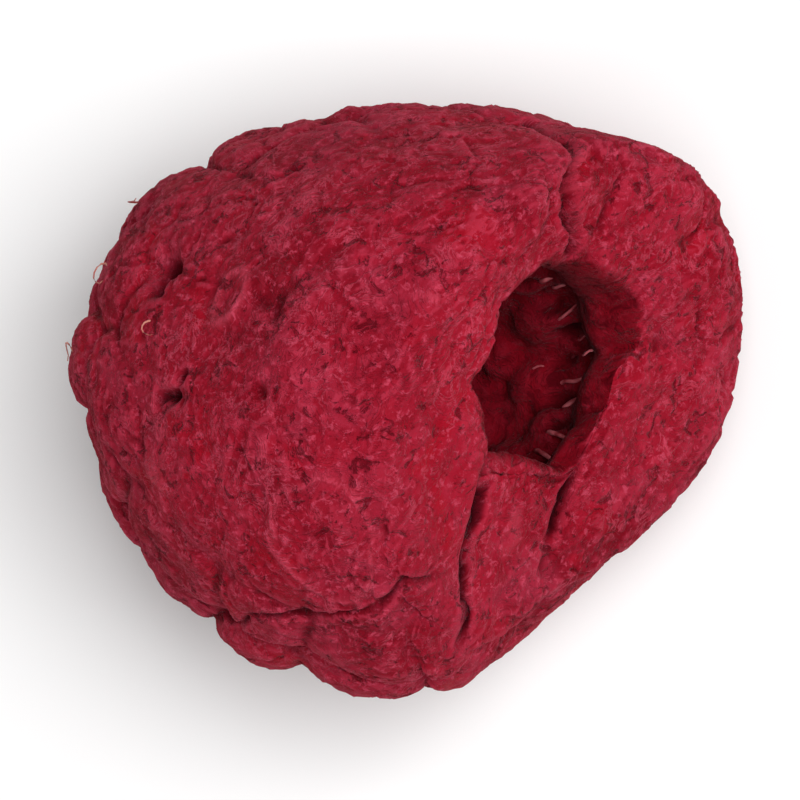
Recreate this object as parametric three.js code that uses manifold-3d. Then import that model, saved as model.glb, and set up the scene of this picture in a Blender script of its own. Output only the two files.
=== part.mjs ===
// A whole dried raspberry with its core pulled out, lying on its side.
// It is one aggregate fruit: drupelets grown together round a hollow that opens towards +X.
// Millimetres, +Z up. The origin is under the middle of its box, on the surface it lies on.

import * as THREE from 'three';
import { mergeVertices } from 'three/addons/utils/BufferGeometryUtils.js';
import Module from 'manifold-3d';

const wasm = await Module();
wasm.setup();

// The berry's own frame has its origin in the middle of the widest section, +Z towards the tip,
// and +X up as it lies. A place on its profile is an angle: -90 is the top of the rim, 0 the
// widest section and 90 the tip. A turn round it starts at +X.

// Driving dimensions
const WIDEST_RADIUS = 10;
const TIP_REACH = 12;         // widest section to tip
const RIM_REACH = 6.6;        // widest section to the top of the rim
const RIM_RADIUS = 6.5;       // the ring along the top of the rim
const TIP_ROUNDING = 0.82;    // under 1 makes the tip blunter
const HOLLOW_RADIUS = 4.1;
const HOLLOW_MOUTH = -4.5;    // where the hollow is widest, just inside the rim
const HOLLOW_BOTTOM = 6.2;
const HOLLOW_POWER = 2.5;
const MOUTH_SLANT_X = -0.15;  // the rim reaches less far on the upper side, per millimetre from the axis
const MOUTH_SLANT_Y = 0.33;   // and further on the +Y side
const SLANT_POWER = 1.5;      // the slant grows faster towards the rim
const MOUTH_SHIFT_X = 0.4;    // the mouth lies this far off the axis
const MOUTH_SHIFT_Y = 1.5;
const SHIFT_FROM = 5;         // from this distance off the axis the shift fades out
const SHIFT_TO = 9.5;
const TIP_LEAN = 1.2;         // the tip leans this far towards +Y
const DENT_TURN = -118;       // beside the mouth, low on the -Y side, the berry is pressed in
const DENT_HEIGHT = -5;
const DENT_TURN_SPREAD = 32;
const DENT_HEIGHT_SPREAD = 4.5;
const DENT_DEPTH = 1.7;
const DENT_FROM = 4.5;        // nothing is pressed in within this distance of the axis

// Drupelets
const GOLDEN_ANGLE = 137.508;
const FIRST_TURN = 20;
const TIP_PITCH = 3.5;        // between drupelets at the tip
const SHOULDER_PITCH = 4.3;   // and just under the rim
const LAST_PLACE = -52;       // the body's drupelets stop here, and the rim's follow
const TURN_SPREAD = 6;        // degrees
const PLACE_SPREAD = 3;       // degrees
const SIZE_SPREAD = 0.14;
const DEEPEST = 6;            // the longest reach of a drupelet into the wall
const REACH = 1.42;           // half width over half the pitch, so that neighbours grow into each other
const PILLOW_POWER = 2.6;     // over 2 flattens the tops and narrows the furrows
const INNER_SHARE = 0.45;     // width of a drupelet's inner end over that of its outer end
const INNER_BUMP = 0.22;      // how far inner ends stand out into the hollow
const FURROW_DEPTH = 1;       // from the drupelets' tops to the flesh between them
const SIDES = 8;              // of a drupelet
const RINGS = [-90, -56, 0, 40, 65, 90]; // latitudes of a drupelet's rings, from the inner end out
const FLESH_SIDES = 14;       // of the flesh they grow in
const FLESH_STEP = 15;        // degrees of profile between its outer rings
const FLESH_END = -105;       // its last outer ring, over the rim and into the mouth
const FLESH_LEVELS = 6;       // and its rings inside the hollow

// The rim's drupelets: turn and half width in degrees, and how far each is pushed into the mouth.
const RIM_PLACE = -80;
const RIM_DRUPELETS = [
  [8, 22, 0.3],
  [42, 18, 0],
  [70, 16, 0],
  [106, 24, 0],
  [153, 24, 0],
  [197, 21, 0],
  [235, 21, 0.3],
  [278, 25, 1.3],
  [325, 27, 0.8],
];
const RIM_HALF_WIDTH = 2.5;   // across the rim, from the outside to the mouth
const RIM_HALF_HEIGHT = 1.9;
const RIM_REACH_ROUND = 1.15; // so that neighbours on the rim grow into each other
const RIM_INNER_SHARE = 0.9;

// How it lies
const LYING_TILT = 20;        // the hollow looks up by this much
const PRESSED_FLAT = 0.7;     // what its weight has flattened off the lowest drupelets

const SAME_POINT = 1e-4;      // points nearer to each other than this are one

const degrees = THREE.MathUtils.degToRad;

// A repeatable number from 0 to 1 for the drupelet of this index.
function draw(index, salt) {
  const wave = Math.sin(index * 12.9898 + salt * 78.233) * 43758.5453;
  return wave - Math.floor(wave);
}

function profile(place) {
  const angle = degrees(place);
  if (angle < 0) {
    return {
      radius: RIM_RADIUS + (WIDEST_RADIUS - RIM_RADIUS) * Math.cos(angle),
      height: RIM_REACH * Math.sin(angle),
    };
  }
  return {
    radius: WIDEST_RADIUS * Math.pow(Math.max(Math.cos(angle), 0), TIP_ROUNDING),
    height: TIP_REACH * Math.sin(angle),
  };
}

// The outward normal of the profile, as radius and height.
function profileNormal(place) {
  const halfStep = 0.5;
  const middle = Math.min(place, 90 - halfStep);
  const before = profile(middle - halfStep);
  const after = profile(middle + halfStep);
  const along = new THREE.Vector2(after.radius - before.radius, after.height - before.height);
  along.normalize();
  return { radius: along.y, height: -along.x };
}

function hollowRadius(height) {
  const share = Math.max(height - HOLLOW_MOUTH, 0) / (HOLLOW_BOTTOM - HOLLOW_MOUTH);
  return HOLLOW_RADIUS * Math.pow(Math.max(1 - Math.pow(share, HOLLOW_POWER), 0), 1 / HOLLOW_POWER);
}

// A point of the outer surface with its outward normal and the direction round the berry.
function wallAt(place, turn) {
  const at = profile(place);
  const normal = profileNormal(place);
  const around = (radius, height) =>
    new THREE.Vector3(radius * Math.cos(turn), radius * Math.sin(turn), height);
  return {
    point: around(at.radius, at.height),
    outward: around(normal.radius, normal.height),
    round: new THREE.Vector3(-Math.sin(turn), Math.cos(turn), 0),
  };
}

// From the outer surface straight in to the hollow, or at most `most`.
function wallThickness({ point, outward }, most) {
  const step = 0.1;
  let depth = step;
  for (; depth < most; depth += step) {
    const inside = point.clone().addScaledVector(outward, -depth);
    if (Math.hypot(inside.x, inside.y) < hollowRadius(inside.z)) break;
  }
  return depth;
}

// A round cushion of unit size with a flattened top, narrower at its inner end. Its outer end is +Z.
function pillow(innerShare) {
  const points = RINGS.map((latitude) => {
    const across = Math.abs(latitude) === 90 ? 0 : Math.cos(degrees(latitude));
    const up = Math.sin(degrees(latitude));
    const sum = Math.pow(across, PILLOW_POWER) + Math.pow(Math.abs(up), PILLOW_POWER);
    const swell = Math.pow(sum, -1 / PILLOW_POWER);
    const width = (1 + innerShare) / 2 + ((1 - innerShare) / 2) * up * swell;
    return new THREE.Vector2(across * swell * width, up * swell);
  });
  return new THREE.LatheGeometry(points, SIDES).rotateX(Math.PI / 2);
}

// Presses the dent in, towards the axis.
function dent(geometry) {
  const points = geometry.getAttribute('position');
  for (let i = 0; i < points.count; i++) {
    const offAxis = Math.hypot(points.getX(i), points.getY(i));
    const turn = THREE.MathUtils.radToDeg(Math.atan2(points.getY(i), points.getX(i)));
    const turned = THREE.MathUtils.euclideanModulo(turn - DENT_TURN + 180, 360) - 180;
    const fromTurn = turned / DENT_TURN_SPREAD;
    const fromHeight = (points.getZ(i) - DENT_HEIGHT) / DENT_HEIGHT_SPREAD;
    const outer = THREE.MathUtils.clamp((offAxis - DENT_FROM) / (WIDEST_RADIUS - DENT_FROM), 0, 1);
    const pressed = DENT_DEPTH * outer * Math.exp(-fromTurn * fromTurn - fromHeight * fromHeight);
    const share = offAxis > 0 ? 1 - pressed / offAxis : 1;
    points.setX(i, points.getX(i) * share);
    points.setY(i, points.getY(i) * share);
  }
  return geometry;
}

// Slants the mouth along the axis and shifts it, between the widest section and the rim, and
// leans the tip.
function slant(geometry) {
  const points = geometry.getAttribute('position');
  for (let i = 0; i < points.count; i++) {
    const nearRim = THREE.MathUtils.clamp(-points.getZ(i) / RIM_REACH, 0, 1);
    const nearTip = Math.max(points.getZ(i) / TIP_REACH, 0);
    const lean = MOUTH_SLANT_X * points.getX(i) + MOUTH_SLANT_Y * points.getY(i);
    const offAxis = Math.hypot(points.getX(i), points.getY(i));
    const faded = THREE.MathUtils.clamp((SHIFT_TO - offAxis) / (SHIFT_TO - SHIFT_FROM), 0, 1);
    points.setX(i, points.getX(i) + MOUTH_SHIFT_X * nearRim * faded);
    points.setY(i, points.getY(i) + MOUTH_SHIFT_Y * nearRim * faded + TIP_LEAN * nearTip ** 2);
    points.setZ(i, points.getZ(i) - nearRim ** SLANT_POWER * lean);
  }
  return geometry;
}

// A closed geometry as a solid that can be joined and cut.
function solid(geometry) {
  const bare = geometry.index ? geometry.toNonIndexed() : geometry.clone();
  bare.deleteAttribute('normal');
  bare.deleteAttribute('uv');
  const merged = mergeVertices(bare, SAME_POINT);
  return new wasm.Manifold(
    new wasm.Mesh({
      numProp: 3,
      vertProperties: merged.getAttribute('position').array,
      triVerts: new Uint32Array(merged.index.array),
    }),
  );
}

// One drupelet: its outer end is at `point` and faces along `outward`. Its half widths are taken
// round the berry and along it.
function drupelet({ point, outward, round, halfRound, halfAlong, halfDepth, innerShare }) {
  const along = new THREE.Vector3().crossVectors(outward, round);
  const frame = new THREE.Matrix4().makeBasis(
    round.clone().multiplyScalar(halfRound),
    along.multiplyScalar(halfAlong),
    outward.clone().multiplyScalar(halfDepth),
  );
  frame.setPosition(point.clone().addScaledVector(outward, -halfDepth));
  return pillow(innerShare).applyMatrix4(frame);
}

// The body's drupelets stand on a spiral from the tip, one golden angle apart, each with its share
// of the surface.
function bodyDrupelets() {
  const made = [];
  const step = 0.25;
  let area = 0;
  let index = 0;
  for (let place = 90 - step / 2; place > LAST_PLACE; place -= step) {
    const here = profile(place);
    const next = profile(place - step);
    area += 2 * Math.PI * here.radius * Math.hypot(next.radius - here.radius, next.height - here.height);
    const pitch = THREE.MathUtils.mapLinear(place, 90, LAST_PLACE, TIP_PITCH, SHOULDER_PITCH);
    const share = (pitch * pitch * Math.sqrt(3)) / 2;
    if (area < (index === 0 ? share / 2 : share)) continue;
    area = 0;
    index += 1;
    const turn = FIRST_TURN + index * GOLDEN_ANGLE + (draw(index, 1) - 0.5) * TURN_SPREAD;
    const wall = wallAt(place + (draw(index, 2) - 0.5) * PLACE_SPREAD, degrees(turn));
    const size = (pitch / 2) * REACH * (1 + (draw(index, 3) - 0.5) * SIZE_SPREAD);
    made.push(
      drupelet({
        ...wall,
        halfRound: size,
        halfAlong: size,
        halfDepth: (wallThickness(wall, DEEPEST) + INNER_BUMP) / 2,
        innerShare: INNER_SHARE,
      }),
    );
  }
  return made;
}

function rimDrupelets() {
  return RIM_DRUPELETS.map(([turn, halfWidth, pushedIn]) => {
    const wall = wallAt(RIM_PLACE, degrees(turn));
    const radius = profile(RIM_PLACE).radius;
    wall.point.multiply(new THREE.Vector3(1 - pushedIn / radius, 1 - pushedIn / radius, 1));
    return drupelet({
      ...wall,
      halfRound: radius * degrees(halfWidth) * RIM_REACH_ROUND,
      halfAlong: RIM_HALF_WIDTH,
      halfDepth: RIM_HALF_HEIGHT,
      innerShare: RIM_INNER_SHARE,
    });
  });
}

// The flesh that the drupelets grow together in: a cup a little inside their tops.
function flesh() {
  const points = [];
  for (let place = 90; place >= FLESH_END; place -= FLESH_STEP) {
    const at = profile(place);
    const normal = profileNormal(place);
    const radius = at.radius - normal.radius * FURROW_DEPTH;
    const height = at.height - normal.height * FURROW_DEPTH;
    points.push(new THREE.Vector2(place === 90 ? 0 : radius, height));
  }
  for (let level = 0; level <= FLESH_LEVELS; level++) {
    const share = Math.sin((Math.PI / 2) * (level / FLESH_LEVELS));
    const height = HOLLOW_MOUTH + (HOLLOW_BOTTOM - HOLLOW_MOUTH) * share;
    points.push(new THREE.Vector2(level === FLESH_LEVELS ? 0 : hollowRadius(height) + INNER_BUMP, height));
  }
  const cup = new THREE.LatheGeometry(points.reverse(), FLESH_SIDES);
  return cup.rotateX(Math.PI / 2);
}

// The berry laid on its side: its own +X goes up and its hollow looks along +X of the part.
function lying(geometry) {
  return slant(dent(geometry)).rotateY(-degrees(90 + LYING_TILT));
}

function berry() {
  let joined = solid(lying(flesh()));
  for (const piece of [...bodyDrupelets(), ...rimDrupelets()]) joined = joined.add(solid(lying(piece)));
  const floor = joined.boundingBox().min[2] + PRESSED_FLAT;
  const span = 4 * TIP_REACH;
  const below = new THREE.BoxGeometry(span, span, span).translate(0, 0, floor - span / 2);
  joined = joined.subtract(solid(below));
  const mesh = joined.getMesh();
  const geometry = new THREE.BufferGeometry();
  geometry.setAttribute('position', new THREE.BufferAttribute(mesh.vertProperties, 3));
  geometry.setIndex(new THREE.BufferAttribute(mesh.triVerts, 1));
  geometry.computeBoundingBox();
  const middle = geometry.boundingBox.getCenter(new THREE.Vector3());
  return geometry.translate(-middle.x, -middle.y, -floor);
}

const raspberry = new THREE.Mesh(
  berry(),
  new THREE.MeshStandardMaterial({ color: 0x9c2236, roughness: 0.85, metalness: 0 }),
);
raspberry.name = 'raspberry';

const part = new THREE.Group();
part.add(raspberry);

export default part;
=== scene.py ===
# A whole freeze-dried raspberry with its core pulled out, lying on its side: the finished surface
# that goes over the plain solid, the fibre ends in its hollow, its floor, its light and its camera.
import math

import bpy
import numpy as np
from mathutils import Matrix, Vector, noise


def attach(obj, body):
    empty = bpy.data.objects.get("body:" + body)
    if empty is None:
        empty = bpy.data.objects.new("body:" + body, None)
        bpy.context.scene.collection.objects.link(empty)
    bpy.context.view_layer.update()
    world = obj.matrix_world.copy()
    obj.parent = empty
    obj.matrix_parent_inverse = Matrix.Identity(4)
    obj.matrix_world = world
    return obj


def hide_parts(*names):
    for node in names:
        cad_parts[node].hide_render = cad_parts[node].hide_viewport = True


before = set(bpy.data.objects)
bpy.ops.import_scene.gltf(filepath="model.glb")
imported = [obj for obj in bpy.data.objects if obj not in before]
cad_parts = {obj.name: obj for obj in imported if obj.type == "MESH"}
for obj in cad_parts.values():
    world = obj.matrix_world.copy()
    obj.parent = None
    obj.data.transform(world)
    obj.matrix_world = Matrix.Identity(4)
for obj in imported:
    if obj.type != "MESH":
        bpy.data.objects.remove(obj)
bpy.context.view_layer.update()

MM = 0.001                  # the berry is modelled in millimetres and brought to metres at the end

# The berry's own frame has its origin in the middle of the widest section, +Z towards the tip,
# and +X up as it lies. A place on its profile is an angle: -90 is the top of the rim, 0 the
# widest section and 90 the tip. A turn round it starts at +X. These values are the solid's, but
# for the drupelets of the rim, which dried further over the mouth.
WIDEST_RADIUS = 10.0
TIP_REACH = 12.0
RIM_REACH = 6.6
RIM_RADIUS = 6.5
TIP_ROUNDING = 0.82
HOLLOW_RADIUS = 4.1
HOLLOW_MOUTH = -4.5
HOLLOW_BOTTOM = 6.2
HOLLOW_POWER = 2.5
MOUTH_SLANT_X = -0.15
MOUTH_SLANT_Y = 0.33
MOUTH_SHIFT_X = 0.4
MOUTH_SHIFT_Y = 1.5
SLANT_POWER = 1.5
SHIFT_FROM = 5
SHIFT_TO = 9.5
TIP_LEAN = 1.2
DENT_TURN, DENT_HEIGHT = -118, -5
DENT_TURN_SPREAD, DENT_HEIGHT_SPREAD = 32, 4.5
DENT_DEPTH = 1.7
DENT_FROM = 4.5
GOLDEN_ANGLE = 137.508
FIRST_TURN = 20
TIP_PITCH = 3.5
SHOULDER_PITCH = 4.3
LAST_PLACE = -52
TURN_SPREAD = 6
PLACE_SPREAD = 3
SIZE_SPREAD = 0.14
DEEPEST = 6
REACH = 1.42
INNER_SHARE = 0.45
RIM_PLACE = -80
RIM_DRUPELETS = [
    (8, 22, 0.8), (42, 18, 0.2), (70, 16, 0), (106, 24, 0), (153, 24, 0.5),
    (197, 21, 0.9), (235, 21, 0.8), (278, 25, 1.3), (325, 27, 0.8),
]
RIM_HALF_WIDTH = 2.5
RIM_HALF_HEIGHT = 1.9
RIM_REACH_ROUND = 1.15
RIM_INNER_SHARE = 0.9
LYING_TILT = 20
PRESSED_FLAT = 0.7

# The finished surface
PILLOW_POWER = 2.3
SWELL = 1.07                # its drupelets are this much wider than the solid's, so that they meet
FURROW_DEPTH = 1.0
INNER_BUMP = 0.22           # inner ends of the drupelets in the hollow
VOXEL = 0.165
FLESH_STEP = 3
LOOSE_FILL = 0.08           # how much of its furrows the skin bridges where it is loose
TAUT_FILL = 0.88            # and where it has dried taut
UPPER_TURN, UPPER_PLACE, UPPER_SPREAD = 12, -30, (82, 80)
FAR_TURN, FAR_PLACE, FAR_SPREAD = 165, -85, (95, 36)
LIP_MIDDLE = (6.3, -4.1)    # the blunt rim between its drupelets: radius and height of its middle
LIP_HALF_WIDTH = 2.3
LIP_HALF_HEIGHT = 2.3
LIP_POWER = 4.5

# Relief of the dried skin, in millimetres
DRIFT = 0.6                 # how far the drupelets have slid over the flesh
SWAY = 0.22                 # broad swells of the whole berry
DOME_SPREAD = 0.4           # how unevenly full the drupelets are
COLLAPSED_DEPTH = 0.35      # the middle of those that have fallen in
RIM_OF_CUP = 0.06           # rims of those that have dried to a cup, and how deep the cups are
CUP_DEPTH = 0.12
GROOVE_DEPTH = 0.26         # between drupelets
CRUMPLE_DEPTH = 0.13        # folds of about two millimetres
WRINKLE_DEPTH = 0.07        # folds of about one
CURL_HEIGHT = 0.03          # fine raised curls
GRAIN_HEIGHT = 0.018
RING_HEIGHT = 0.14
THIN_DEPTH = 0.1

# Creases of the dried skin: turn and place of each bend, then half width and depth in millimetres
CREASES = [
    ([(88, -38), (79, -50), (71, -62), (63, -78), (66, -108), (78, -126)], 0.18, 0.85),
    ([(-56, -126), (-62, -99), (-70, -76), (-76, -54)], 0.2, 0.75),
    ([(-118, -138), (-114, -120), (-111, -106), (-108, -98)], 0.24, 0.7),
    ([(-54, 25), (-48, 8), (-46, -20), (-46, -58), (-58, -76)], 0.16, 0.35),
    ([(31, 24), (25, 26)], 0.42, 0.95),
]
# Pits: turn, place, half width and depth in millimetres
PITS = [
    (0, 16, 0.5, 0.8),
    (5, 14, 0.3, 0.5),
    (17, -9, 0.7, 0.12),
    (14, -12, 0.3, 0.16),
    (2, -9, 0.35, 0.12),
    (13, -33, 0.2, 0.14),
    (2, -42, 0.22, 0.12),
]
# Raised pale rings of dried skin: turn, place, radius and line width in millimetres, and strength
RINGS = [
    (20, 6, 0.85, 0.24, 1.0),
    (-14, 21, 0.1, 0.4, 0.8),
    (-30, -24, 2.2, 0.13, 0.5),
]
# Patches where the skin is thin and the dark flesh shows: turn, place and radius in millimetres
THIN_PATCHES = [
    (20, -9, 1.2),
    (2, -8, 0.5),
]
SUNK_RIM = (-86, -92, 32, 28, 0.8)  # turn, place, their spreads and the depth of the rim below the lip
FAR_LIP = (158, 80, 1.15)   # the far lip reaches in over the hollow: middle turn, spread and reach
NEAR_LIP_SWELL = 1.3        # the rim's drupelets are wider still, and make one even lip
FAR_RIM_SWELL = 1.18

# Fibre ends in the hollow: rows of short rungs along it, and loose threads. Millimetres and degrees.
RUNG_ROWS = [(-3.3, 15), (-1.9, 17), (-0.7, 20), (0.6, 23), (1.9, 26), (3.2, 32)]
RUNG_LENGTH = 0.85
RUNG_RADIUS = 0.05
FIRST_ROW_RADIUS = 0.08     # the rungs just inside the mouth are stouter, with slots between them
SLOT_DEPTH = 0.6
SLOT_HEIGHT = -2.85
SLOT_HALF_LENGTH = 0.5
STOUT_FIBRES = [((211, -2.2), (221, -3.5)), ((204, -2.6), (212, -3.8))]  # turn and height of both ends
STOUT_RADIUS = 0.1
LOOSE_THREADS = 16
LOOSE_RADIUS = 0.055
HAIRS = 10                  # dried styles left on the drupelets
HAIR_RADIUS = 0.04
LOWEST_HAIR = 1.2           # none lie lower than this, under the berry
THREAD_RINGS = 8


def draw(index, salt):
    """A repeatable number from 0 to 1 for the drupelet of this index."""
    wave = math.sin(index * 12.9898 + salt * 78.233) * 43758.5453
    return wave - math.floor(wave)


def profile(place):
    angle = math.radians(place)
    if angle < 0:
        return RIM_RADIUS + (WIDEST_RADIUS - RIM_RADIUS) * math.cos(angle), RIM_REACH * math.sin(angle)
    return WIDEST_RADIUS * max(math.cos(angle), 0) ** TIP_ROUNDING, TIP_REACH * math.sin(angle)


def profile_normal(place):
    step = 0.5
    near_tip = min(place, 90 - step)
    before, after = profile(near_tip - step), profile(near_tip + step)
    along = Vector((after[0] - before[0], after[1] - before[1])).normalized()
    return along.y, -along.x


def hollow_radius(height):
    share = max(height - HOLLOW_MOUTH, 0) / (HOLLOW_BOTTOM - HOLLOW_MOUTH)
    return HOLLOW_RADIUS * max(1 - share ** HOLLOW_POWER, 0) ** (1 / HOLLOW_POWER)


def turned(radius, height, angle):
    return Vector((radius * math.cos(angle), radius * math.sin(angle), height))


class Drupelet:
    """Where one drupelet's outer end is, which way it faces, and its half sizes."""

    def __init__(self, index, place, turn, half_round, half_along, half_depth, inner_share, rim=False):
        radius, height = profile(place)
        normal_radius, normal_height = profile_normal(place)
        angle = math.radians(turn)
        self.index = index
        self.rim = rim
        self.point = turned(radius, height, angle)
        self.outward = turned(normal_radius, normal_height, angle)
        self.round = Vector((-math.sin(angle), math.cos(angle), 0))
        self.along = self.outward.cross(self.round)
        self.half_round = half_round
        self.half_along = half_along
        self.half_depth = half_depth
        self.inner_share = inner_share

    def matrix(self):
        middle = self.point - self.outward * self.half_depth
        axes = (self.round * self.half_round, self.along * self.half_along, self.outward * self.half_depth)
        turned = Matrix([[axis[row] for axis in axes] for row in range(3)]).to_4x4()
        return Matrix.Translation(middle) @ turned


def wall_thickness(place):
    radius, height = profile(place)
    normal = profile_normal(place)
    step = 0.1
    depth = step
    while depth < DEEPEST:
        if abs(radius - normal[0] * depth) < hollow_radius(height - normal[1] * depth):
            break
        depth += step
    return depth


def body_drupelets():
    """The spiral of drupelets from the tip to the shoulder, as in the solid."""
    made = []
    step = 0.25
    area = 0
    place = 90 - step / 2
    while place > LAST_PLACE:
        here, following = profile(place), profile(place - step)
        area += 2 * math.pi * here[0] * math.hypot(following[0] - here[0], following[1] - here[1])
        pitch = TIP_PITCH + (SHOULDER_PITCH - TIP_PITCH) * (90 - place) / (90 - LAST_PLACE)
        share = pitch * pitch * math.sqrt(3) / 2
        if area >= (share if made else share / 2):
            area = 0
            index = len(made) + 1
            turn = FIRST_TURN + index * GOLDEN_ANGLE + (draw(index, 1) - 0.5) * TURN_SPREAD
            moved = place + (draw(index, 2) - 0.5) * PLACE_SPREAD
            size = pitch / 2 * REACH * SWELL * (1 + (draw(index, 3) - 0.5) * SIZE_SPREAD)
            depth = (wall_thickness(moved) + INNER_BUMP) / 2
            made.append(Drupelet(index, moved, turn, size, size, depth, INNER_SHARE))
        place -= step
    return made


def rim_drupelets(first_index):
    made = []
    radius = profile(RIM_PLACE)[0]
    for number, (turn, half_width, pushed_in) in enumerate(RIM_DRUPELETS):
        half_round = radius * math.radians(half_width) * RIM_REACH_ROUND
        near_lip = math.cos(math.radians(turn - UPPER_TURN)) > 0.5
        half_round *= NEAR_LIP_SWELL if near_lip else FAR_RIM_SWELL
        one = Drupelet(first_index + number, RIM_PLACE, turn, half_round, RIM_HALF_WIDTH,
                       RIM_HALF_HEIGHT, RIM_INNER_SHARE, rim=True)
        one.point.x *= 1 - pushed_in / radius
        one.point.y *= 1 - pushed_in / radius
        made.append(one)
    return made


DRUPELETS = body_drupelets()
DRUPELETS += rim_drupelets(len(DRUPELETS) + 1)


# Modelling helpers

def deselect():
    bpy.ops.object.select_all(action="DESELECT")


def activate(thing):
    deselect()
    thing.select_set(True)
    bpy.context.view_layer.objects.active = thing
    return thing


def read_points(mesh):
    points = np.empty(len(mesh.vertices) * 3)
    mesh.vertices.foreach_get("co", points)
    return points.reshape(-1, 3)


def write_points(mesh, points):
    mesh.vertices.foreach_set("co", np.ascontiguousarray(points, dtype=float).ravel())
    mesh.update()


def read_normals(mesh):
    normals = np.empty(len(mesh.vertices) * 3)
    mesh.vertices.foreach_get("normal", normals)
    return normals.reshape(-1, 3)


def make_cushion(inner_share):
    """A round cushion of unit size with a flattened top, narrower at its inner end."""
    deselect()
    bpy.ops.mesh.primitive_uv_sphere_add(segments=28, ring_count=20, radius=1)
    cushion = bpy.context.object
    points = read_points(cushion.data)
    across = np.hypot(points[:, 0], points[:, 1])
    swell = (across ** PILLOW_POWER + np.abs(points[:, 2]) ** PILLOW_POWER) ** (-1 / PILLOW_POWER)
    points *= swell[:, None]
    width = (1 + inner_share) / 2 + (1 - inner_share) / 2 * points[:, 2]
    points[:, :2] *= width[:, None]
    write_points(cushion.data, points)
    return cushion


def make_flesh():
    """The cup between the drupelets, with a rounded rim: its outline is spun round the axis."""
    outline = []
    for place in range(90, LAST_PLACE, -FLESH_STEP):
        radius, height = profile(place)
        normal = profile_normal(place)
        outline.append((max(radius - normal[0] * FURROW_DEPTH, 0), height - normal[1] * FURROW_DEPTH))
    outline[0] = (0, outline[0][1])
    for angle in range(20, 180, 10):
        across, up = math.cos(math.radians(angle)), math.sin(math.radians(angle))
        swell = (abs(across) ** LIP_POWER + up ** LIP_POWER) ** (-1 / LIP_POWER)
        outline.append((LIP_MIDDLE[0] + LIP_HALF_WIDTH * across * swell,
                        LIP_MIDDLE[1] - LIP_HALF_HEIGHT * up * swell))
    levels = 24
    start = LIP_MIDDLE[1]
    for level in range(levels + 1):
        height = start + (HOLLOW_BOTTOM - start) * math.sin(math.pi / 2 * level / levels)
        radius = 0 if level == levels else hollow_radius(height) + INNER_BUMP
        outline.append((radius, height))
    mesh = bpy.data.meshes.new("flesh")
    edges = [(i, i + 1) for i in range(len(outline) - 1)]
    mesh.from_pydata([(radius, 0, height) for radius, height in outline], edges, [])
    cup = bpy.data.objects.new("flesh", mesh)
    bpy.context.collection.objects.link(cup)
    activate(cup)
    bpy.ops.object.mode_set(mode="EDIT")
    bpy.ops.mesh.select_all(action="SELECT")
    bpy.ops.mesh.spin(steps=96, angle=2 * math.pi, center=(0, 0, 0), axis=(0, 0, 1))
    bpy.ops.mesh.select_all(action="SELECT")
    bpy.ops.mesh.remove_doubles(threshold=0.001)
    bpy.ops.mesh.normals_make_consistent(inside=False)
    bpy.ops.object.mode_set(mode="OBJECT")
    return cup


def joined_berry():
    """All drupelets and the flesh, grown into one closed skin."""
    cushions = {share: make_cushion(share) for share in (INNER_SHARE, RIM_INNER_SHARE)}
    pieces = [make_flesh()]
    for one in DRUPELETS:
        piece = bpy.data.objects.new("drupelet", cushions[one.inner_share].data.copy())
        piece.data.transform(one.matrix())
        bpy.context.collection.objects.link(piece)
        pieces.append(piece)
    for cushion in cushions.values():
        bpy.data.objects.remove(cushion)
    deselect()
    for piece in pieces:
        piece.select_set(True)
    bpy.context.view_layer.objects.active = pieces[0]
    bpy.ops.object.join()
    berry = bpy.context.object
    berry.name = berry.data.name = "raspberry_skin"
    remesh = berry.modifiers.new("grow together", "REMESH")
    remesh.mode = "VOXEL"
    remesh.voxel_size = VOXEL
    bpy.ops.object.modifier_apply(modifier=remesh.name)
    soften = berry.modifiers.new("soften", "SMOOTH")
    soften.factor = 0.5
    soften.iterations = 3
    bpy.ops.object.modifier_apply(modifier=soften.name)
    return berry


def smooth_step(low, high, values):
    share = np.clip((values - low) / (high - low), 0, 1)
    return share * share * (3 - 2 * share)


def noise_field(points, wavelength, offset):
    """Smooth noise from about -1 to 1 at every point."""
    scaled = points / wavelength + np.array([offset * 7.3, offset * 3.1, offset * 5.7])
    return np.fromiter(map(noise.noise, map(Vector, scaled)), float, len(points)) * 1.6


def noise_vectors(points, wavelength, offset):
    """A smooth random shift of every point."""
    return np.column_stack([noise_field(points, wavelength, offset + axis) for axis in range(3)])


def off_the_axis(points):
    return np.maximum(np.hypot(points[:, 0], points[:, 1]), 1e-6)


def turns_of(points):
    return np.degrees(np.arctan2(points[:, 1], points[:, 0]))


def cells(points):
    """For every point its drupelet, how far out it is in it (1 at the rim), and the gap to the next."""
    nearest = np.full(len(points), 1e9)
    second = np.full(len(points), 1e9)
    owner = np.zeros(len(points), int)
    for number, one in enumerate(DRUPELETS):
        offset = points - np.array(one.point)
        across = offset @ np.array(one.round) / one.half_round
        along = offset @ np.array(one.along) / one.half_along
        deep = np.maximum(-(offset @ np.array(one.outward)) - 1.2, 0) / 1.5
        away = np.sqrt(across ** 2 + along ** 2 + deep ** 2)
        closer = away < nearest
        second = np.where(closer, nearest, np.minimum(second, away))
        owner[closer] = number
        nearest = np.where(closer, away, nearest)
    return owner, nearest, second - nearest


def inside_hollow(points):
    """1 in the hollow, 0 outside, soft at the mouth."""
    radius = np.hypot(points[:, 0], points[:, 1])
    share = np.clip((points[:, 2] - HOLLOW_MOUTH) / (HOLLOW_BOTTOM - HOLLOW_MOUTH), 0, 1)
    wall = HOLLOW_RADIUS * (1 - share ** HOLLOW_POWER) ** (1 / HOLLOW_POWER)
    near_wall = 1 - smooth_step(0.4, 1.0, radius - wall)
    below = 1 - smooth_step(0.4, 1.2, points[:, 2] - HOLLOW_BOTTOM)
    above_rim = smooth_step(-RIM_REACH + 0.7, -RIM_REACH + 1.5, points[:, 2])
    return near_wall * below * above_rim


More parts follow.
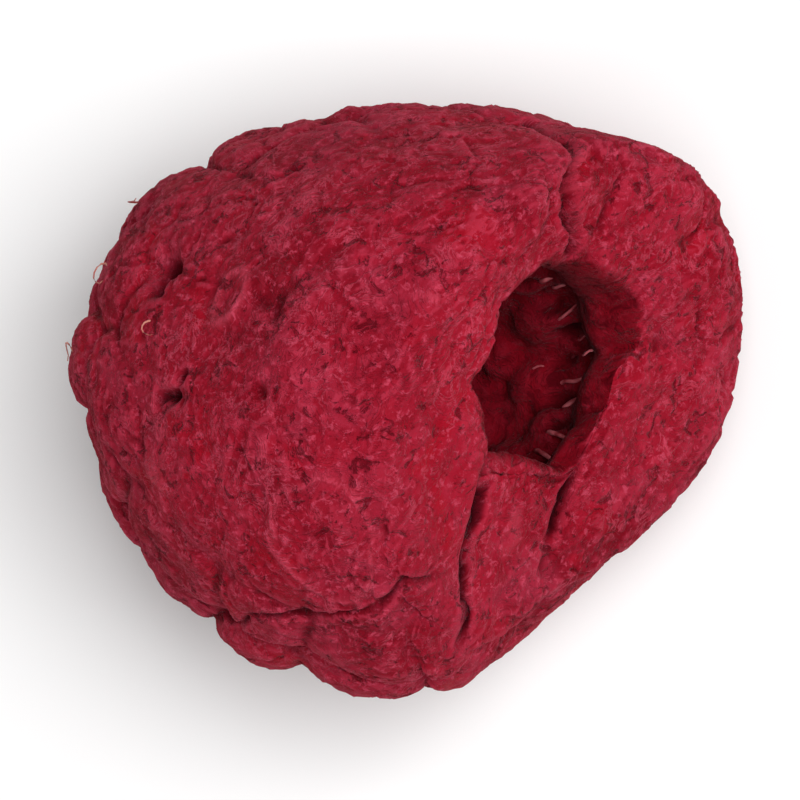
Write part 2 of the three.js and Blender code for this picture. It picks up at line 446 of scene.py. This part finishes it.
def on_profile(points):
    """For every point the place of the profile nearest to it, and how deep it lies under that."""
    places = np.arange(-90, 91, 1.5)
    line = np.array([profile(place) for place in places])
    normals = np.array([profile_normal(place) for place in places])
    flat = np.column_stack((np.hypot(points[:, 0], points[:, 1]), points[:, 2]))
    nearest = np.full(len(points), 1e9)
    best = np.zeros(len(points), int)
    for number, spot in enumerate(line):
        away = ((flat - spot) ** 2).sum(axis=1)
        closer = away < nearest
        best[closer] = number
        nearest = np.where(closer, away, nearest)
    depth = ((line[best] - flat) * normals[best]).sum(axis=1)
    round_way = points[:, :2] / np.maximum(flat[:, :1], 1e-6)
    outward = np.column_stack((round_way * normals[best][:, :1], normals[best][:, 1]))
    return places[best], depth, outward


def on_surface(turn, place):
    """A point on the profile. Past the top of the rim the line goes straight on over the mouth."""
    radius, height = profile(place)
    level = -RIM_REACH if place < -90 else height
    return np.array(turned(radius, level, math.radians(turn)))


def away_from_line(points, bends):
    """How far every point is from a line over the surface through these turns and places."""
    steps = np.linspace(0, len(bends) - 1, 6 * len(bends))
    turns = np.interp(steps, range(len(bends)), [bend[0] for bend in bends])
    places = np.interp(steps, range(len(bends)), [bend[1] for bend in bends])
    spots = [on_surface(*bend) for bend in zip(turns, places)]
    nearest = np.full(len(points), 1e9)
    for start, end in zip(spots, spots[1:]):
        way = end - start
        share = np.clip((points - start) @ way / (way @ way), 0, 1)
        nearest = np.minimum(nearest, np.linalg.norm(points - start - share[:, None] * way, axis=1))
    return nearest


def around(turns, middle):
    """How many degrees each turn is away from the middle one, the short way round."""
    return (turns - middle + 180) % 360 - 180


def shrunk_smooth(points, places):
    """1 where the drying skin has pulled taut over the furrows: beside the mouth, above and beyond."""
    turns = turns_of(points)
    upper = np.hypot(around(turns, UPPER_TURN) / UPPER_SPREAD[0], (places - UPPER_PLACE) / UPPER_SPREAD[1])
    far = np.hypot(around(turns, FAR_TURN) / FAR_SPREAD[0], (places - FAR_PLACE) / FAR_SPREAD[1])
    return np.maximum(1 - smooth_step(0.6, 1.2, upper), 0.8 * (1 - smooth_step(0.7, 1.1, far)))


class Dried:
    """What is known of every point of the skin as it dries, before any of it moves."""

    def __init__(self, points):
        self.owner, self.out, self.gap = cells(points)
        self.inside = inside_hollow(points)
        self.outside = 1 - self.inside
        self.places, self.depth, self.outward = on_profile(points)
        self.taut = shrunk_smooth(points, self.places) * self.outside
        self.free = 1 - 0.75 * self.taut
        self.on_top = points + self.outward * self.depth[:, None]
        self.shown = self.outside * (self.depth < 2.5)
        drawn = [[draw(one.index, salt) for salt in range(10, 15)] for one in DRUPELETS]
        self.salts = np.array(drawn)[self.owner]


def closed_up(points, dried):
    """Bridges the furrows where the skin is taut, slides the drupelets and leans the far lip in."""
    bridged = (LOOSE_FILL + (TAUT_FILL - LOOSE_FILL) * dried.taut) * dried.outside
    near_top = (1 - smooth_step(1.2, 2.0, dried.depth)) * (dried.depth > 0)
    moved = points + dried.outward * (dried.depth * bridged * near_top)[:, None]
    drift = noise_vectors(points, 4.5, 40)
    drift -= dried.outward * (drift * dried.outward).sum(axis=1)[:, None]
    moved += drift * (DRIFT * dried.outside)[:, None]
    off_axis = off_the_axis(points)
    far_turn, far_spread, far_reach = FAR_LIP
    leaning = np.exp(-(around(turns_of(points), far_turn) / far_spread) ** 4)
    leaning *= (1 - smooth_step(4.5, 8.0, off_axis)) * (1 - smooth_step(-5.4, -3.6, points[:, 2]))
    moved[:, :2] *= (1 - far_reach * leaning / off_axis)[:, None]
    return moved


def drupelet_relief(points, dried, wobble):
    """Full, fallen and cupped drupelets and the grooves between them. Also gives the cups' rims."""
    fullness, fallen, cupped, cup_size = dried.salts[:, :4].T
    loose = dried.outside * dried.free
    dome = 1 - smooth_step(0.3, 0.85, dried.out)
    lift = (0.1 + DOME_SPREAD * (fullness - 0.5)) * dome * loose
    lift -= (fallen > 0.75) * (1 - smooth_step(0.1, 0.6, dried.out)) * COLLAPSED_DEPTH * loose
    ringed = (cupped > 0.8) * loose
    broken = smooth_step(-0.3, 0.4, noise_field(points, 1.1, 7))
    ring_radius = 0.16 + 0.12 * cup_size
    ring = ringed * broken * np.exp(-((dried.out + wobble - ring_radius) / 0.06) ** 2)
    lift += RIM_OF_CUP * ring
    lift -= ringed * CUP_DEPTH * (1 - smooth_step(0.2, 1.0, (dried.out + wobble) / ring_radius))
    grown = smooth_step(-0.5, 0.6, noise_field(points, 3.6, 10))
    width = 0.07 + 0.09 * smooth_step(-0.6, 0.6, noise_field(points, 1.7, 11))
    groove = np.exp(-(dried.gap / width) ** 2) * dried.outside * (1 - 0.88 * dried.taut)
    lift -= GROOVE_DEPTH * grown * groove
    return lift, ring


def wrinkle_relief(points, dried, warp, curls):
    """Swells, folds, wrinkles and fine curls all over the skin."""
    bent = points + warp * 0.55
    lift = noise_field(points, 6.0, 1) * SWAY
    folded = smooth_step(-0.1, 0.5, noise_field(points, 3.4, 8))
    fold = np.abs(noise_field(bent, 2.1, 3))
    lift -= CRUMPLE_DEPTH * (1 - smooth_step(0.0, 0.14, fold)) * folded * dried.outside
    wrinkle = np.abs(noise_field(bent, 1.0, 4))
    lift -= WRINKLE_DEPTH * (1 - smooth_step(0.0, 0.3, wrinkle))
    lift += noise_field(bent, 1.3, 12) * WRINKLE_DEPTH * dried.outside
    lift += CURL_HEIGHT * (1 - smooth_step(0.0, 0.3, curls))
    return lift + noise_field(points, 0.4, 5) * GRAIN_HEIGHT


def sunk_rim(turns, dried):
    """How far the rim below the lip has sunk."""
    turn, place, turn_spread, place_spread, depth = SUNK_RIM
    from_turn, from_place = around(turns, turn) / turn_spread, (dried.places - place) / place_spread
    return depth * np.exp(-from_turn ** 4 - from_place ** 4) * dried.outside


def creases_and_pits(points, dried, shaken, fine_warp):
    """How deep the creases and pits are, and how much painted shade darkens them."""
    sunk = np.zeros(len(points))
    crease_shades = np.zeros(len(points))
    for bends, half_width, deep in CREASES:
        near = dried.shown * np.exp(-(away_from_line(shaken, bends) / half_width) ** 2)
        sunk += deep * near
        crease_shades = np.maximum(crease_shades, near * min(deep * 1.6, 1))
    ragged = noise_field(points, 0.5, 9) * 0.3
    for turn, place, half_width, deep in PITS:
        away = np.linalg.norm(shaken + fine_warp * 0.12 - on_surface(turn, place), axis=1)
        near = dried.shown * np.exp(-(away / half_width + ragged) ** 4)
        sunk += deep * near
        crease_shades = np.maximum(crease_shades, near * min(deep * 1.4, 1))
    return sunk, crease_shades


def torn_slots(points, dried, turns, warp, fine_warp):
    """1 in the slots between the stout rungs just inside the mouth."""
    step = RUNG_ROWS[0][1]
    slots = smooth_step(0.1, 0.9, -np.cos(2 * np.pi * turns / step + fine_warp[:, 0]))
    slots *= np.exp(-((points[:, 2] - SLOT_HEIGHT + warp[:, 1] * 0.3) / SLOT_HALF_LENGTH) ** 2)
    return slots * dried.inside * smooth_step(-0.7, 0.0, noise_field(points, 1.6, 13))


def pale_rings(dried, shaken, wobble):
    rings = np.zeros((len(RINGS), len(shaken)))
    for number, (turn, place, radius, line_width, strength) in enumerate(RINGS):
        away = np.linalg.norm(shaken - on_surface(turn, place), axis=1) + wobble * 0.4
        rings[number] = dried.shown * strength * np.exp(-((away - radius) / line_width) ** 2)
    return rings


def thin_patches(dried, shaken, fine_warp, curls):
    thin = np.zeros(len(shaken))
    for turn, place, radius in THIN_PATCHES:
        away = np.linalg.norm(shaken + fine_warp * 0.35 - on_surface(turn, place), axis=1)
        thin = np.maximum(thin, dried.shown * (1 - smooth_step(0.7, 1.1, away / radius + curls * 0.3)))
    return thin


def turned_in(mesh, points, fine_warp):
    """1 where the wall of the mouth faces the axis."""
    off_axis = off_the_axis(points)
    radial = points[:, :2] / off_axis[:, None]
    inward = -(read_normals(mesh)[:, :2] * radial).sum(axis=1) + fine_warp[:, 0] * 0.08
    return smooth_step(0.42, 0.62, inward) * (off_axis < 6.4) * (points[:, 2] < 0)


def crumple(berry):
    """Dries the skin, and keeps on it what its colour needs."""
    mesh = berry.data
    points = read_points(mesh)
    dried = Dried(points)
    points = closed_up(points, dried)
    write_points(mesh, points)
    normals = read_normals(mesh)
    turns = turns_of(points)
    warp = noise_vectors(points, 2.4, 20)
    fine_warp = noise_vectors(points, 0.8, 30)
    wobble = noise_field(points, 1.3, 2) * 0.2
    curls = np.abs(noise_field(points + fine_warp * 0.25, 0.55, 6))
    shaken = dried.on_top + warp * 0.15 + fine_warp * 0.1
    lift, ring = drupelet_relief(points, dried, wobble)
    lift += wrinkle_relief(points, dried, warp, curls) - sunk_rim(turns, dried)
    sunk, crease_shades = creases_and_pits(points, dried, shaken, fine_warp)
    slots = torn_slots(points, dried, turns, warp, fine_warp)
    rings = pale_rings(dried, shaken, wobble)
    thin = thin_patches(dried, shaken, fine_warp, curls)
    lift += RING_HEIGHT * rings.sum(axis=0) - sunk - SLOT_DEPTH * slots - THIN_DEPTH * thin
    points += normals * lift[:, None]
    write_points(mesh, points)
    lip = (1 - smooth_step(5.5, 8.0, off_the_axis(points))) * (1 - smooth_step(-5.6, -4.4, points[:, 2]))
    kept = {
        # The hollow's mask also sets its painted shade.
        "inside": np.maximum(dried.inside, turned_in(mesh, points, fine_warp)),
        "tint": dried.salts[:, 4],
        "ring": np.maximum(ring, rings.max(axis=0)),
        # This mask sets the painted shade in the creases, pits and slots.
        "crease_shade": np.maximum(crease_shades, slots),
        "lip": lip,
        "thin": thin,
    }
    for name, values in kept.items():
        layer = mesh.attributes.new(name, "FLOAT", "POINT")
        layer.data.foreach_set("value", np.clip(values, 0, 1).astype(float))


def dented(points):
    """Presses the dent in, towards the axis."""
    off_axis = off_the_axis(points)
    from_turn = around(turns_of(points), DENT_TURN) / DENT_TURN_SPREAD
    from_height = (points[:, 2] - DENT_HEIGHT) / DENT_HEIGHT_SPREAD
    outer = np.clip((off_axis - DENT_FROM) / (WIDEST_RADIUS - DENT_FROM), 0, 1)
    pressed = DENT_DEPTH * outer * np.exp(-from_turn ** 2 - from_height ** 2)
    shifted = points.copy()
    shifted[:, :2] *= (1 - pressed / off_axis)[:, None]
    return shifted


def laid_down(points):
    """Slants and shifts the mouth, leans the tip and lays the points on their side, about its middle."""
    points = dented(points)
    near_rim = np.clip(-points[:, 2] / RIM_REACH, 0, 1)
    near_tip = np.maximum(points[:, 2] / TIP_REACH, 0)
    shift = near_rim * np.clip((SHIFT_TO - off_the_axis(points)) / (SHIFT_TO - SHIFT_FROM), 0, 1)
    slanted = points.copy()
    slanted[:, 0] += MOUTH_SHIFT_X * shift
    slanted[:, 1] += MOUTH_SHIFT_Y * shift + TIP_LEAN * near_tip ** 2
    slanted[:, 2] -= near_rim ** SLANT_POWER * (MOUTH_SLANT_X * points[:, 0] + MOUTH_SLANT_Y * points[:, 1])
    turn = np.array(Matrix.Rotation(-math.radians(90 + LYING_TILT), 3, "Y"))
    return slanted @ turn.T


def lay_down(berry):
    """Lays the berry on the surface and presses its lowest drupelets flat. Returns how far it moved."""
    points = laid_down(read_points(berry.data))
    low, high = points.min(axis=0), points.max(axis=0)
    moved = np.array([-(low[0] + high[0]) / 2, -(low[1] + high[1]) / 2, -low[2] - PRESSED_FLAT])
    points += moved
    points[:, 2] = np.maximum(points[:, 2], 0)
    write_points(berry.data, points * MM)
    return moved


def store_relief(berry):
    """Keeps how far each point stands above or below its surroundings, for the painted highlight on ridges
    and the painted shade in furrows.
    """
    mesh = berry.data
    points = read_points(mesh)
    normals = read_normals(mesh)
    edges = np.empty(len(mesh.edges) * 2, int)
    mesh.edges.foreach_get("vertices", edges)
    edges = edges.reshape(-1, 2)
    count = np.bincount(edges.ravel(), minlength=len(points)).astype(float)
    for name, rounds, scale in (("ridge_highlight", 2, 0.03), ("furrow_shade", 14, 0.16)):
        smoothed = points.copy()
        for _ in range(rounds):
            total = np.zeros_like(smoothed)
            for axis in range(3):
                total[:, axis] = np.bincount(edges[:, 0], smoothed[edges[:, 1], axis], len(points))
                total[:, axis] += np.bincount(edges[:, 1], smoothed[edges[:, 0], axis], len(points))
            smoothed = total / count[:, None]
        height = ((points - smoothed) * normals).sum(axis=1) / MM / scale
        layer = mesh.attributes.new(name, "FLOAT", "POINT")
        layer.data.foreach_set("value", np.clip(0.5 + height / 2, 0, 1))


def make_thread():
    """A straight closed thread of unit length along +Z and unit radius, to be bent."""
    deselect()
    bpy.ops.mesh.primitive_circle_add(vertices=6, radius=1, fill_type="NGON")
    thread = bpy.context.object
    bpy.ops.object.mode_set(mode="EDIT")
    bpy.ops.mesh.select_all(action="SELECT")
    for _ in range(THREAD_RINGS):
        bpy.ops.mesh.extrude_region_move(TRANSFORM_OT_translate={"value": (0, 0, 1 / THREAD_RINGS)})
    bpy.ops.mesh.select_all(action="SELECT")
    bpy.ops.mesh.normals_make_consistent(inside=False)
    bpy.ops.object.mode_set(mode="OBJECT")
    return thread


def bent_thread(thread, path, radius, taper):
    """A copy of the thread that follows the path, a function from 0..1 to a point in metres."""
    mesh = thread.data.copy()
    for vertex in mesh.vertices:
        along = vertex.co.z
        here = path(along)
        forward = (path(min(along + 0.02, 1)) - path(max(along - 0.02, 0))).normalized()
        side = forward.orthogonal().normalized()
        other = forward.cross(side)
        width = radius * (1 - taper * along)
        vertex.co = here + (side * vertex.co.x + other * vertex.co.y) * width
    copy = bpy.data.objects.new("thread", mesh)
    bpy.context.collection.objects.link(copy)
    return copy


def joined_threads(pieces, thread, name, material):
    bpy.data.objects.remove(thread)
    deselect()
    for piece in pieces:
        piece.select_set(True)
    bpy.context.view_layer.objects.active = pieces[0]
    bpy.ops.object.join()
    joined = bpy.context.object
    joined.name = joined.data.name = name
    joined.data.materials.clear()
    joined.data.materials.append(material)
    bpy.ops.object.shade_smooth()
    return joined


def hollow_wall(skin, move, turn, height):
    """The point of the hollow's wall at this turn and height, and the way from it into the hollow."""
    angle = math.radians(turn)
    ends = laid_down(np.array([[0, 0, height], [math.cos(angle), math.sin(angle), height]])) + move
    start = Vector(ends[0] * MM)
    way = (Vector(ends[1] * MM) - start).normalized()
    hit, point, _, _ = skin.ray_cast(start, way)
    return (point, -way) if hit else (None, None)


def bowed(first, last, inward, rise, sink, sway=None):
    """A path between two points of the wall that stands out in between, with its ends sunk in."""
    def path(share):
        out = inward * (rise * math.sin(math.pi * share) - sink)
        aside = sway * math.sin(2 * math.pi * share) if sway else Vector()
        return first.lerp(last, share) + out + aside
    return path


def curling(root, inward, ahead, reach, curl):
    """A path from the wall that curls over ahead."""
    side = ahead.cross(inward)

    def path(share):
        turn = curl * share
        way = inward * math.sin(turn) * 0.6 + ahead * (1 - math.cos(turn)) + side * 0.2 * math.sin(2 * turn)
        return root - inward * 0.06 * MM + way * reach / curl
    return path


def rung(skin, move, thread, row, number, turn):
    """One rung, or nothing where it is missing or the wall is not found at both ends."""
    salt = 100 + row * 50
    if draw(number, salt) < (0.12 if row == 0 else 0.45):
        return None
    height, step = RUNG_ROWS[row]
    length = RUNG_LENGTH * (0.45 + 0.85 * draw(number, salt + 1))
    at = turn + (draw(number, salt + 2) - 0.5) * step * 0.6
    middle = height + (draw(number, salt + 3) - 0.5) * 0.7
    slew = (draw(number, salt + 4) - 0.5) * 16
    first, inward = hollow_wall(skin, move, at - slew / 2, middle - length / 2)
    last, _ = hollow_wall(skin, move, at + slew / 2, middle + length / 2)
    if first is None or last is None or (last - first).length > 2 * length * MM:
        return None
    rise = (0.09 + 0.12 * draw(number, salt + 5)) * MM
    sway = (last - first).cross(inward).normalized() * (draw(number, salt + 6) - 0.5) * 0.16 * MM
    radius = (FIRST_ROW_RADIUS if row == 0 else RUNG_RADIUS) * (0.6 + 0.7 * draw(number, salt + 7))
    return bent_thread(thread, bowed(first, last, inward, rise, 0.1 * MM, sway), radius * MM, 0)


def stout_fibre(skin, move, thread, start, end):
    first, inward = hollow_wall(skin, move, *start)
    last, _ = hollow_wall(skin, move, *end)
    if first is None or last is None:
        return None
    return bent_thread(thread, bowed(first, last, inward, 0.22 * MM, 0.06 * MM), STOUT_RADIUS * MM, 0.3)


def loose_thread(skin, move, thread, number):
    turn, height = 360 * draw(number, 90), -4.6 + 7 * draw(number, 91)
    root, inward = hollow_wall(skin, move, turn, height)
    if root is None:
        return None
    ends = laid_down(np.array([[0, 0, -1.0], [0, 0, 0.0]]))
    ahead = Vector(ends[0] - ends[1]).normalized() * (1 if draw(number, 92) > 0.35 else -1)
    reach = (0.7 + 0.8 * draw(number, 93)) * MM
    curl = 1.5 + 2.5 * draw(number, 94)
    return bent_thread(thread, curling(root, inward, ahead, reach, curl), LOOSE_RADIUS * MM, 0.6)


def hollow_fibres(skin, move, material):
    """Rungs along the hollow's wall where the core tore off, and a few stout and loose threads."""
    thread = make_thread()
    pieces = []
    for row, (_, step) in enumerate(RUNG_ROWS):
        for number, turn in enumerate(range(0, 360, step)):
            pieces.append(rung(skin, move, thread, row, number, turn))
    pieces += [stout_fibre(skin, move, thread, start, end) for start, end in STOUT_FIBRES]
    pieces += [loose_thread(skin, move, thread, number) for number in range(LOOSE_THREADS)]
    return joined_threads([piece for piece in pieces if piece], thread, "hollow_fibres", material)


def lying_on(found, outward, flat, reach, curl):
    """A path that curls over the skin from this point, a little above it."""
    side = outward.cross(flat)

    def path(share):
        above = 0.2 * math.sin(math.pi * min(share * 1.15, 1)) - 0.06
        turn = curl * share
        way = flat * math.sin(turn) + side * (1 - math.cos(turn))
        return found + outward * above * MM + way * reach / curl
    return path


def dried_hairs(skin, move, material):
    """Dried styles, curled on the tops of some drupelets."""
    thread = make_thread()
    body = [one for one in DRUPELETS if not one.rim]
    pieces = []
    for number in range(HAIRS):
        one = body[int(draw(number, 180) * len(body))]
        spots = laid_down(np.array([one.point, one.point + one.outward, one.point + one.round])) + move
        root, out, round_way = (Vector(spot * MM) for spot in spots)
        outward = (out - root).normalized()
        hit, found, _, _ = skin.ray_cast(root + outward * 2 * MM, -outward)
        if not hit or found.z < LOWEST_HAIR * MM:
            continue
        flat = Matrix.Rotation(2 * math.pi * draw(number, 81), 3, outward) @ (round_way - root).normalized()
        reach = (0.9 + 0.8 * draw(number, 82)) * MM
        curl = 1.2 + 3.6 * draw(number, 83)
        path = lying_on(found, outward, flat, reach, curl)
        pieces.append(bent_thread(thread, path, HAIR_RADIUS * MM, 0.55))
    return joined_threads(pieces, thread, "dried_hairs", material)


# Shader maths as Python expressions

class Socket:
    """A node's output, so that shader maths reads as arithmetic."""

    def __init__(self, tree, socket):
        self.tree = tree
        self.socket = socket

    def maths(self, operation, first, second):
        return self.tree.maths(operation, first, second)

    def __add__(self, other):
        return self.maths("ADD", self, other)

    __radd__ = __add__

    def __sub__(self, other):
        return self.maths("SUBTRACT", self, other)

    def __rsub__(self, other):
        return self.maths("SUBTRACT", other, self)

    def __mul__(self, other):
        return self.maths("MULTIPLY", self, other)

    __rmul__ = __mul__


class Tree:
    """One material's nodes."""

    def __init__(self, name):
        self.material = bpy.data.materials.new(name)
        self.material.use_nodes = True
        self.nodes = self.material.node_tree.nodes
        self.links = self.material.node_tree.links
        self.nodes.clear()

    def node(self, kind, settings=None, inputs=None, output=0):
        made = self.nodes.new(kind)
        for name, value in (settings or {}).items():
            setattr(made, name, value)
        for name, value in (inputs or {}).items():
            if isinstance(value, Socket):
                self.links.new(value.socket, made.inputs[name])
            else:
                made.inputs[name].default_value = value
        return Socket(self, made.outputs[output]) if made.outputs else None

    def maths(self, operation, first, second):
        return self.node("ShaderNodeMath", {"operation": operation}, {0: first, 1: second})

    def clamp(self, value, low, high):
        """Brings low..high to 0..1, smoothly."""
        settings = {"interpolation_type": "SMOOTHSTEP"}
        return self.node("ShaderNodeMapRange", settings, {"Value": value, "From Min": low, "From Max": high})

    def mix(self, factor, first, second):
        return self.node("ShaderNodeMix", {"data_type": "RGBA"}, {0: factor, 6: first, 7: second}, 2)

    def noise(self, where, scale, detail, roughness=0.5, distortion=0.0):
        inputs = {"Vector": where, "Scale": scale, "Detail": detail, "Roughness": roughness,
                  "Distortion": distortion}
        return self.node("ShaderNodeTexNoise", {}, inputs)

    def attribute(self, name):
        return self.node("ShaderNodeAttribute", {"attribute_name": name}, {}, 2)


def rgb(red, green, blue):
    """A colour as seen on a screen, 0 to 255, brought to the shader's linear values."""
    return tuple((((v / 255 + 0.055) / 1.055) ** 2.4 if v > 10 else v / 255 / 12.92)
                 for v in (red, green, blue)) + (1.0,)


def dried_skin():
    """Powdery crimson skin: mottled, with a painted highlight on its ridges, painted shade in furrows,
    creases and pits, and a hollow of darker flesh darkened further by painted shade.
    """
    tree = Tree("dried_flesh_skin")
    where = tree.node("ShaderNodeTexCoord", {}, {}, 3)
    ridge_highlight = tree.attribute("ridge_highlight")
    furrow_shade = tree.attribute("furrow_shade")
    inside = tree.attribute("inside")
    tint = tree.attribute("tint")
    ring = tree.attribute("ring")
    crease_shade = tree.attribute("crease_shade")
    lip = tree.attribute("lip")
    thin = tree.attribute("thin")
    broad = tree.noise(where, 160, 3)
    patches = tree.noise(where, 330, 4, 0.6, 0.6)
    grain = tree.noise(where, 2600, 4, 0.7)
    speck = tree.noise(where, 3400, 4, 0.75, 0.45)
    line = tree.noise(where, 900, 4, 0.7, 1.2)
    curl = tree.clamp(tree.maths("ABSOLUTE", line - 0.5, 0), 0.05, 0.0)
    crinkle = curl * tree.clamp(tree.noise(where, 480, 4, 0.65), 0.46, 0.64)
    pore = tree.clamp(tree.noise(where, 1500, 4, 0.7, 0.7), 0.43, 0.33)
    dusty = tree.clamp(tree.noise(where, 420, 4, 0.65, 0.8), 0.42, 0.66)
    color = tree.mix(tree.clamp(broad, 0.35, 0.65), rgb(112, 8, 24), rgb(138, 18, 36))
    color = tree.mix(dusty * 0.55, color, rgb(158, 42, 64))
    color = tree.mix(tree.clamp(tint, 0.2, 1.0) * 0.4, color, rgb(148, 20, 38))
    color = tree.mix(tree.clamp(patches, 0.54, 0.68) * 0.6, color, rgb(146, 2, 22))
    color = tree.mix(tree.clamp(grain, 0.5, 0.72) * 0.4, color, rgb(162, 26, 50))
    # Painted highlight: paler on the fine raised ridges.
    color = tree.mix(tree.clamp(ridge_highlight, 0.56, 0.95) * 0.45, color, rgb(174, 50, 72))
    color = tree.mix(crinkle * (0.5 + lip * 0.15), color, rgb(192, 70, 92))
    color = tree.mix(thin * 0.6, color, rgb(112, 2, 16))
    color = tree.mix(ring * (0.3 + crinkle * 0.4), color, rgb(194, 74, 94))
    color = tree.mix(lip * 0.3, color, rgb(156, 8, 32))
    fleck = tree.clamp(speck + lip * 0.012, 0.54, 0.66)
    color = tree.mix(fleck * 0.52, color, rgb(192, 70, 94))
    color = tree.mix(tree.clamp(grain, 0.42, 0.28) * 0.6, color, rgb(78, 1, 10))
    color = tree.mix(pore * 0.7, color, rgb(74, 0, 8))
    # Painted shade: darker in the broad furrows between the drupelets.
    color = tree.mix(tree.clamp(furrow_shade, 0.45, 0.05) * 0.7, color, rgb(76, 1, 9))
    # Painted shade: the hollow is darkened, partly its flesh's own darker red and partly painted shade of
    # the recess, and darker still in streaks.
    color = tree.mix(inside * 0.85, color, rgb(104, 3, 16))
    color = tree.mix(inside * tree.clamp(line, 0.5, 0.36) * 0.7, color, rgb(58, 0, 6))
    # Painted shade: near black in the creases, pits and the slots between the rungs.
    color = tree.mix(crease_shade * 0.95, color, rgb(30, 0, 4))
    height = grain * 0.6 + speck * 0.5 + curl * 0.25 - pore * 0.8
    bump = tree.node("ShaderNodeBump", {}, {"Strength": 0.8, "Distance": 0.00016, "Height": height})
    rough = 0.92 - tree.clamp(patches, 0.58, 0.72) * 0.25
    shader = tree.node("ShaderNodeBsdfPrincipled", {}, {
        "Base Color": color, "Roughness": rough, "Normal": bump,
        "Sheen Weight": 0.06, "Sheen Roughness": 0.22, "Sheen Tint": rgb(236, 180, 188),
        "Subsurface Weight": 0.1, "Subsurface Radius": (0.001, 0.0002, 0.0002),
        "Subsurface Scale": 1.0, "Specular IOR Level": 0.05,
    })
    tree.node("ShaderNodeOutputMaterial", {}, {"Surface": shader})
    return tree.material


def pale_fibre(name, color, darker):
    """Dry plant fibre, a little uneven in colour."""
    tree = Tree(name)
    where = tree.node("ShaderNodeTexCoord", {}, {}, 3)
    uneven = tree.clamp(tree.noise(where, 1400, 3, 0.6), 0.35, 0.65)
    shader = tree.node("ShaderNodeBsdfPrincipled", {}, {
        "Base Color": tree.mix(uneven, darker, color), "Roughness": 0.6,
        "Subsurface Weight": 0.2, "Subsurface Radius": (0.0004, 0.0002, 0.0002),
        "Subsurface Scale": 1.0, "Specular IOR Level": 0.3,
    })
    tree.node("ShaderNodeOutputMaterial", {}, {"Surface": shader})
    return tree.material


def plain_floor():
    tree = Tree("pale_floor")
    shader = tree.node("ShaderNodeBsdfPrincipled", {}, {
        "Base Color": (0.86, 0.86, 0.86, 1), "Roughness": 0.9,
    })
    tree.node("ShaderNodeOutputMaterial", {}, {"Surface": shader})
    return tree.material


# The berry
skin = joined_berry()
crumple(skin)
move = lay_down(skin)
store_relief(skin)
skin.data.materials.clear()
skin.data.materials.append(dried_skin())
activate(skin)
bpy.ops.object.shade_smooth()
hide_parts("raspberry")
bpy.context.view_layer.update()
fibres = hollow_fibres(skin, move, pale_fibre("hollow_fibre", rgb(176, 84, 92), rgb(112, 18, 30)))
hairs = dried_hairs(skin, move, pale_fibre("dried_hair", rgb(190, 118, 104), rgb(140, 50, 50)))
for piece in (skin, fibres, hairs):
    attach(piece, "root")

# Floor
deselect()
bpy.ops.mesh.primitive_plane_add(size=2, location=(0, 0, -0.00001))
floor = bpy.context.object
floor.name = "floor"
floor.data.materials.append(plain_floor())


def soft_light(name, place, size, power):
    """A square light that faces the berry."""
    data = bpy.data.lights.new(name, "AREA")
    data.size = size
    data.energy = power
    lamp = bpy.data.objects.new(name, data)
    lamp.location = place
    lamp.rotation_euler = (AIM - Vector(place)).to_track_quat("-Z", "Y").to_euler()
    bpy.context.collection.objects.link(lamp)


# Camera and light. The camera looks down from the side of the mouth.
AIM = Vector((0, 0, 0.0095))
CAMERA_LEAN = 16
CAMERA_DISTANCE = 0.32
VIEW_WIDTH = 0.0269
SENSOR = 36
soft_light("overhead", (0.14, 0.02, 0.28), 0.18, 1.1)
soft_light("side", (-0.26, -0.16, 0.2), 0.2, 0.2)
world = bpy.data.worlds.new("studio")
world.use_nodes = True
world.node_tree.nodes["Background"].inputs["Color"].default_value = (1, 1, 1, 1)
world.node_tree.nodes["Background"].inputs["Strength"].default_value = 0.32
bpy.context.scene.world = world
bpy.context.scene.view_settings.view_transform = "Standard"

lens = bpy.data.cameras.new("camera")
lens.sensor_width = SENSOR
lens.lens = SENSOR * CAMERA_DISTANCE / VIEW_WIDTH
camera = bpy.data.objects.new("camera", lens)
lean = math.radians(CAMERA_LEAN)
back = Vector((math.sin(lean), 0, math.cos(lean)))
right = Vector((math.cos(lean), 0, -math.sin(lean)))
up = Vector((0, 1, 0))
camera.matrix_world = Matrix.Translation(AIM + back * CAMERA_DISTANCE) @ Matrix(
    [[axis[row] for axis in (right, up, back)] for row in range(3)]
).to_4x4()
bpy.context.collection.objects.link(camera)
bpy.context.scene.camera = camera
